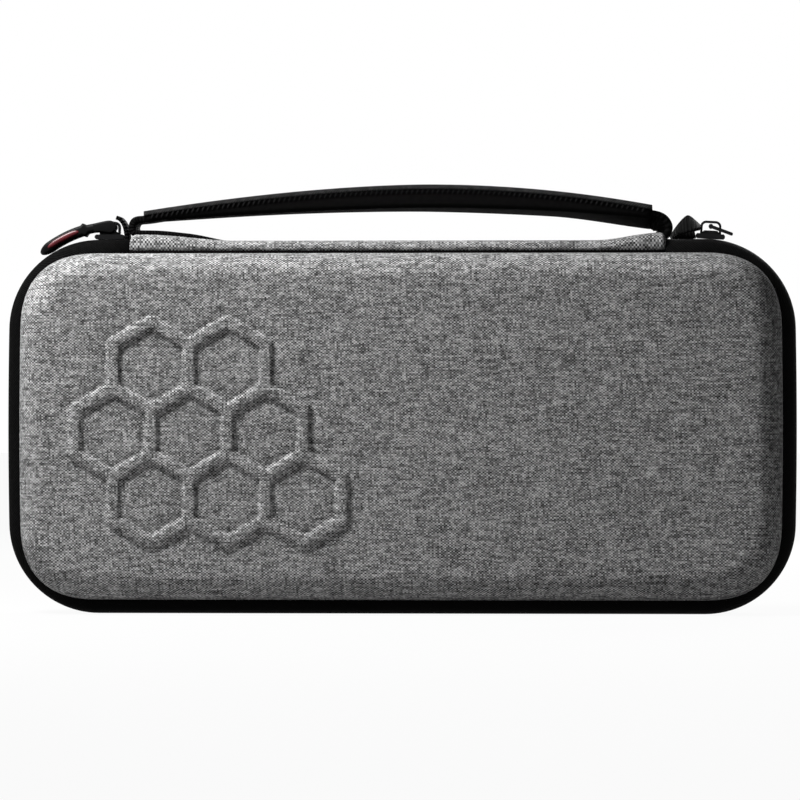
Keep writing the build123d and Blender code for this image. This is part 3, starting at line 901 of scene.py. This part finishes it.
tab_parts = {
    "left": [loft(strip_rings(smooth_line(LEFT_TAB), RIBBON_WIDTH, ribbon_thickness, no_turn))],
    "right": [
        loft(ruled_rings(RIGHT_BACK_EDGE, RIGHT_FRONT_EDGE, FOLD_HALF, RIBBON)),
        loft(strip_rings(smooth_line(RIGHT_UNDER), RIBBON_WIDTH, under_thickness, no_turn)),
    ],
}
for side_name, parts in tab_parts.items():
    tab = add_piece(f"{side_name}_ribbon_tab_visual", *join_parts(parts), "spine", "ribbon", [ribbon_cloth])
    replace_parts(tab, f"{side_name}_ribbon_tab")


# Moulded pull on the left slider
pin_joint = next(j for j in frame["joints"] if j["name"] == "left_pull_swing")
PIVOT_X, _, PIVOT_Z = (v / MM for v in pin_joint["pos_m"])
PULL_REACH = 21.9
PULL_END_DROP = -7.63
PULL_MIDDLE_DROP = -1.715


def pull_point(share):
    """Place along the pull's bowed centre line: 0 at the pin, 1 at the tip."""
    drop = 4 * PULL_MIDDLE_DROP * share * (1 - share) + PULL_END_DROP * share * (2 * share - 1)
    return np.array([PIVOT_X - PULL_REACH * share, 0.0, PIVOT_Z + drop])


def pull_rings(start, stop, size, count=36, offset=0.0, radius=1.2):
    """Rounded sections along the pull; size gives width and thickness at a share of its length."""
    rings = []
    for share in np.linspace(start, stop, count):
        here = pull_point(share)
        ahead = pull_point(share + 0.01) - pull_point(share - 0.01)
        ahead /= np.linalg.norm(ahead)
        upward = np.array([ahead[2], 0.0, -ahead[0]])
        width, thickness = size(share)
        section = rounded_section(width, thickness, radius)
        rings.append([here + np.array([0, offset + a, 0]) + b * upward for a, b in section])
    return rings


def grip_size(share):
    tip = math.sqrt(max(0.02, 1 - max(0.0, (share - 0.93) / 0.165) ** 2))
    collar = math.exp(-(((share - 0.40) / 0.030) ** 2))
    grow = float(smooth_step(share, 0.38, 0.48))
    return (6.4 + 0.6 * grow) * tip, (3.1 + 0.6 * grow + 1.7 * collar) * tip


EYE_RADIUS = 2.25


def arm_size(share):
    """Section of one arm, widest at the round eye on the pin."""
    behind = min(share, 0.0) * PULL_REACH / EYE_RADIUS
    ahead = math.exp(-((max(share, 0.0) / 0.09) ** 2))
    thick = 3.7 - 0.6 * float(smooth_step(share, 0.08, 0.25))
    return 1.75, (thick + (2 * EYE_RADIUS - thick) * ahead) * math.sqrt(max(0.01, 1 - behind**2))


pull_parts = [loft(pull_rings(0.215, 1.09, grip_size, 60))]
for offset in (-2.6, 2.6):
    pull_parts.append(loft(pull_rings(-0.102, 0.25, arm_size, 30, offset, 0.7)))
pin_turn = np.linspace(0, 2 * math.pi, 16, endpoint=False)
pull_parts.append(loft([
    np.column_stack([PIVOT_X + 0.8 * np.cos(pin_turn), np.full(16, y), PIVOT_Z + 0.8 * np.sin(pin_turn)])
    for y in (-2.4, 2.4)
]))
pull = add_piece("left_pull_visual", *join_parts(pull_parts), "left_pull", "pull_black", [pull_plastic])
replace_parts(pull, "left_pull")


def inlay_size(share):
    tip = math.sqrt(max(0.02, 1 - abs((share - 0.725) / 0.245) ** 6))
    return 7.7 * (0.9 + 0.1 * tip), 2.6 * tip


inlay_rings = pull_rings(0.482, 0.968, inlay_size, 40)
inlay = add_piece("left_pull_inlay_visual", *loft(inlay_rings), "left_pull", "pull_red", [pull_red])
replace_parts(inlay, "left_pull_inlay")


# Rigid pieces that keep their solids
def dress(node, material, bevel):
    obj = frame["nodes"][node]
    obj.data.materials.clear()
    obj.data.materials.append(material)
    soften = obj.modifiers.new("soft_edges", "BEVEL")
    soften.width = bevel * MM
    soften.segments = 3
    soften.limit_method = "ANGLE"
    soften.angle_limit = math.radians(40)
    soften.harden_normals = False


for node in ("left_slider", "right_slider", "right_puller"):
    dress(node, slider_paint, 0.18)
for node in ("console_tray", "tray_floor"):
    dress(node, lining_cloth, 0.6)


# Raised bridge under each crown
HUMP_LENGTH, HUMP_TOP, HUMP_WIDTH = 7.6, 4.2, 2.8
PLATE_TOP = 1.9
HUMP_RISE = 1.2
for side_name, sign, station in (("left", -1, -3.0), ("right", 1, 1.8)):
    angle = max(0.0, station) / (RIM_RADIUS + BAND_BULGE)
    reach = RIM_RADIUS + BAND_BULGE
    origin = np.array([
        sign * (CORNER_X + min(0.0, station) + reach * math.sin(angle)),
        0.0,
        MIDDLE + CORNER_RISE + reach * math.cos(angle),
    ])
    ahead = np.array([sign * math.cos(angle), 0.0, -math.sin(angle)])
    upward = np.array([sign * math.sin(angle), 0.0, math.cos(angle)])
    rings = []
    for share in np.linspace(-1, 1, 17):
        length_share = min(1.0, (1 - abs(share)) / (1 - HUMP_TOP / HUMP_LENGTH))
        top = PLATE_TOP - 0.3 + (HUMP_RISE + 0.3) * float(smooth_step(length_share, 0, 1))
        section_points = rounded_section(HUMP_WIDTH, top - 0.8, 0.5, 4)
        centre = origin + share * HUMP_LENGTH / 2 * ahead + (0.8 + (top - 0.8) / 2) * upward
        rings.append([centre + np.array([0.0, a, 0.0]) + b * upward for a, b in section_points])
    slider = f"{side_name}_slider"
    add_piece(f"{slider}_bridge", *loft(rings), slider, "slider_metal", [slider_paint])


# Net pocket in the lid: binding round the rim, elastic along the mouth and a net of six-sided meshes
net_low, net_high = (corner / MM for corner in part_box("mesh_pocket"))
elastic_low, elastic_high = (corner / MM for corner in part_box("pocket_elastic"))
RING_OUTER, RING_INNER = -3.15, -9.15
RING_PROFILE = [
    (RING_OUTER, 15.0), (RING_OUTER - 0.1, 14.3), (RING_OUTER - 0.8, 14.05), (-5.2, 13.95), (-7.0, 13.95),
    (RING_INNER + 0.8, 14.05), (RING_INNER + 0.1, 14.3), (RING_INNER, 15.0), (RING_INNER + 0.2, 15.55),
    (RING_OUTER - 0.2, 15.55),
]
RING_STITCH_GROW, RING_STITCH_LENGTH, RING_STITCH_PITCH, RING_FRONT = -8.0, 2.3, 3.4, 13.95
rim_points, rim_normals = band_path(0.0, 0.0)
rim_loop = rim_points[:-1], rim_normals[:-1]
ring_rings = band_rings(rim_loop, dense_profile(RING_PROFILE, 36), -1)
ring = add_piece("pocket_binding_visual", *loft(ring_rings, loop=True), "lid", "zip_tape", [pocket_cloth])
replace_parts(ring, "pocket_binding")

inner_line = rim_points + RING_STITCH_GROW * rim_normals
inner_run = running_length(inner_line)
stitch_parts = []
for start in np.arange(0, inner_run[-1] - RING_STITCH_PITCH / 2, RING_STITCH_PITCH):
    ends = []
    for run in (start, start + RING_STITCH_LENGTH):
        x, z = (np.interp(run, inner_run, inner_line[:, k]) for k in (0, 1))
        ends.append(np.array([x, -RING_FRONT, z + MIDDLE]))
    stitch_parts.append(stitch(*ends, np.array([0.0, 1.0, 0.0]), 0.2, 0.12))
add_piece("pocket_stitches", *join_parts(stitch_parts), "lid", "zip_tape", [stitch_thread])

ELASTIC_WAVE, ELASTIC_PITCH = 0.22, 4.4
elastic_middle = (elastic_low + elastic_high) / 2
elastic_reach = side_point(elastic_middle.z - MIDDLE, RING_INNER + 1.2)[0]
elastic_section = rounded_section(elastic_high.z - elastic_low.z, 1.0, 0.4, 5)
elastic_rings = []
for x in spaced(-elastic_reach, elastic_reach, 0.5):
    wave = ELASTIC_WAVE * math.sin(2 * math.pi * x / ELASTIC_PITCH)
    elastic_rings.append([
        (x, elastic_middle.y + wave * (0.4 + 0.6 * abs(a) / 3) + b, elastic_middle.z + a)
        for a, b in elastic_section
    ])
elastic = add_piece("pocket_elastic_visual", *loft(elastic_rings), "lid", "zip_tape", [elastic_cloth])
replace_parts(elastic, "pocket_elastic")

NET_PITCH = 2.8
NET_THREAD = 0.95
NET_HALF = 0.32
NET_BOW = 1.2
NET_ROW = NET_PITCH * math.sqrt(3) / 2


def net_depth(x, z):
    """The net bows a little towards the inside in its middle."""
    share_x = x / net_high.x
    share_z = (2 * z - net_high.z - net_low.z) / (net_high.z - net_low.z)
    bow = NET_BOW * max(0.0, 1 - share_x**2) * max(0.0, 1 - share_z**2)
    return (net_low.y + net_high.y) / 2 + bow


def build_net():
    """Six-sided meshes side by side: each shares its corners with its neighbours and has its own hole."""
    points, faces, shared, sides = [], [], {}, {}

    def corner(x, z, lift):
        key = (round(x, 3), round(z, 3), lift)
        if key not in shared:
            shared[key] = len(points)
            points.append((x, net_depth(x, z) + lift * NET_HALF, z))
        return shared[key]

    turns = [math.radians(30 + 60 * k) for k in range(6)]
    outer, inner = NET_PITCH / math.sqrt(3), (NET_PITCH - NET_THREAD) / math.sqrt(3)
    columns, rows = int(net_high.x / NET_PITCH) + 1, int((net_high.z - net_low.z) / NET_ROW)
    for row in range(rows + 1):
        z = net_low.z + 0.6 + row * NET_ROW
        if z + outer > net_high.z:
            continue
        reach = side_point(z - MIDDLE, RING_INNER + 3.2)[0]
        for column in range(-columns, columns + 1):
            x = (column + 0.5 * (row % 2)) * NET_PITCH
            if abs(x) > reach:
                continue
            hole = [(x + inner * math.cos(a), z + inner * math.sin(a)) for a in turns]
            edge = [(x + outer * math.cos(a), z + outer * math.sin(a)) for a in turns]
            for k in range(6):
                m = (k + 1) % 6
                for lift in (-1, 1):
                    outside = (corner(*edge[k], lift), corner(*edge[m], lift))
                    faces.append((*outside, corner(*hole[m], 0), corner(*hole[k], 0)))
                near, far = ((corner(*edge[i], -1), corner(*edge[i], 1)) for i in (k, m))
                sides.setdefault(frozenset((near, far)), []).append((*near, *far[::-1]))
    faces += [border[0] for border in sides.values() if len(border) == 1]
    return np.array(points), faces


net_points, net_faces = build_net()
net = add_piece("mesh_pocket_visual", net_points, net_faces, None, "lid", "pocket_net", [net_thread])
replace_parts(net, "mesh_pocket")


# Studio
def area_light(name, place, target, size, energy):
    lamp = bpy.data.lights.new(name, "AREA")
    lamp.shape = "DISK"
    lamp.size = size
    lamp.energy = energy
    made = bpy.data.objects.new(name, lamp)
    scene.collection.objects.link(made)
    made.location = place
    made.rotation_euler = (Vector(target) - Vector(place)).to_track_quat("-Z", "Y").to_euler()
    return made


def seen_directly(tree):
    """1 for camera, glossy and transmission rays, 0 for the light that falls on the object."""
    path = add_node(tree, "ShaderNodeLightPath")
    seen = calc(tree, "MAXIMUM", path.outputs["Is Camera Ray"], path.outputs["Is Glossy Ray"])
    return calc(tree, "MAXIMUM", seen, path.outputs["Is Transmission Ray"])


AIM = Vector((-0.85, 0.0, 73.04)) * MM
area_light("key", (-0.29, -0.16, 0.47), AIM, 0.18, 6.6)
area_light("rear", (0.25, 0.9, 0.45), AIM, 0.6, 10.0)

world = bpy.data.worlds.new("studio")
scene.world = world
world.use_nodes = True
sky = world.node_tree
sky.nodes.clear()
around = add_node(sky, "ShaderNodeBackground", {"Color": (1.0, 1.0, 1.0, 1.0), "Strength": 0.04})
backdrop = add_node(sky, "ShaderNodeBackground", {"Color": (1.0, 1.0, 1.0, 1.0), "Strength": 1.0})
shares = {0: seen_directly(sky), 1: around.outputs[0], 2: backdrop.outputs[0]}
mixed = add_node(sky, "ShaderNodeMixShader", shares)
add_node(sky, "ShaderNodeOutputWorld", {"Surface": mixed.outputs[0]})

floor_mesh = bpy.data.meshes.new("floor")
FLOOR = 6.0
floor_corners = [(-FLOOR, -FLOOR, 0), (FLOOR, -FLOOR, 0), (FLOOR, FLOOR, 0), (-FLOOR, FLOOR, 0)]
floor_mesh.from_pydata(floor_corners, [], [(0, 1, 2, 3)])
floor = bpy.data.objects.new("floor", floor_mesh)
scene.collection.objects.link(floor)
floor_material = bpy.data.materials.new("floor_paint")
floor_material.use_nodes = True
tree = floor_material.node_tree
paint = tree.nodes["Principled BSDF"]
paint.inputs["Base Color"].default_value = (0.36, 0.36, 0.36, 1.0)
paint.inputs["Roughness"].default_value = 0.9
glow = add_node(tree, "ShaderNodeEmission", {"Color": (1.0, 1.0, 1.0, 1.0), "Strength": 1.0})
share = calc(tree, "MULTIPLY", seen_directly(tree), 0.94)
blend = add_node(tree, "ShaderNodeMixShader", {0: share, 1: paint.outputs[0], 2: glow.outputs[0]})
tree.links.new(blend.outputs[0], tree.nodes["Material Output"].inputs["Surface"])
floor_mesh.materials.append(floor_material)

# Camera at the photograph's angle
VIEW_DISTANCE = 2.0
VIEW_TURN = math.radians(3.2)
FRAME_WIDTH = 0.27463
camera = bpy.data.objects.new("camera", bpy.data.cameras.new("camera"))
scene.collection.objects.link(camera)
scene.camera = camera
camera.data.sensor_width = 36.0
camera.data.lens = 36.0 * VIEW_DISTANCE / FRAME_WIDTH
camera.location = AIM + VIEW_DISTANCE * Vector((math.sin(VIEW_TURN), -math.cos(VIEW_TURN), 0.0))
camera.rotation_euler = (AIM - camera.location).to_track_quat("-Z", "Y").to_euler()
camera.data.clip_start = 0.05
camera.data.clip_end = 50.0
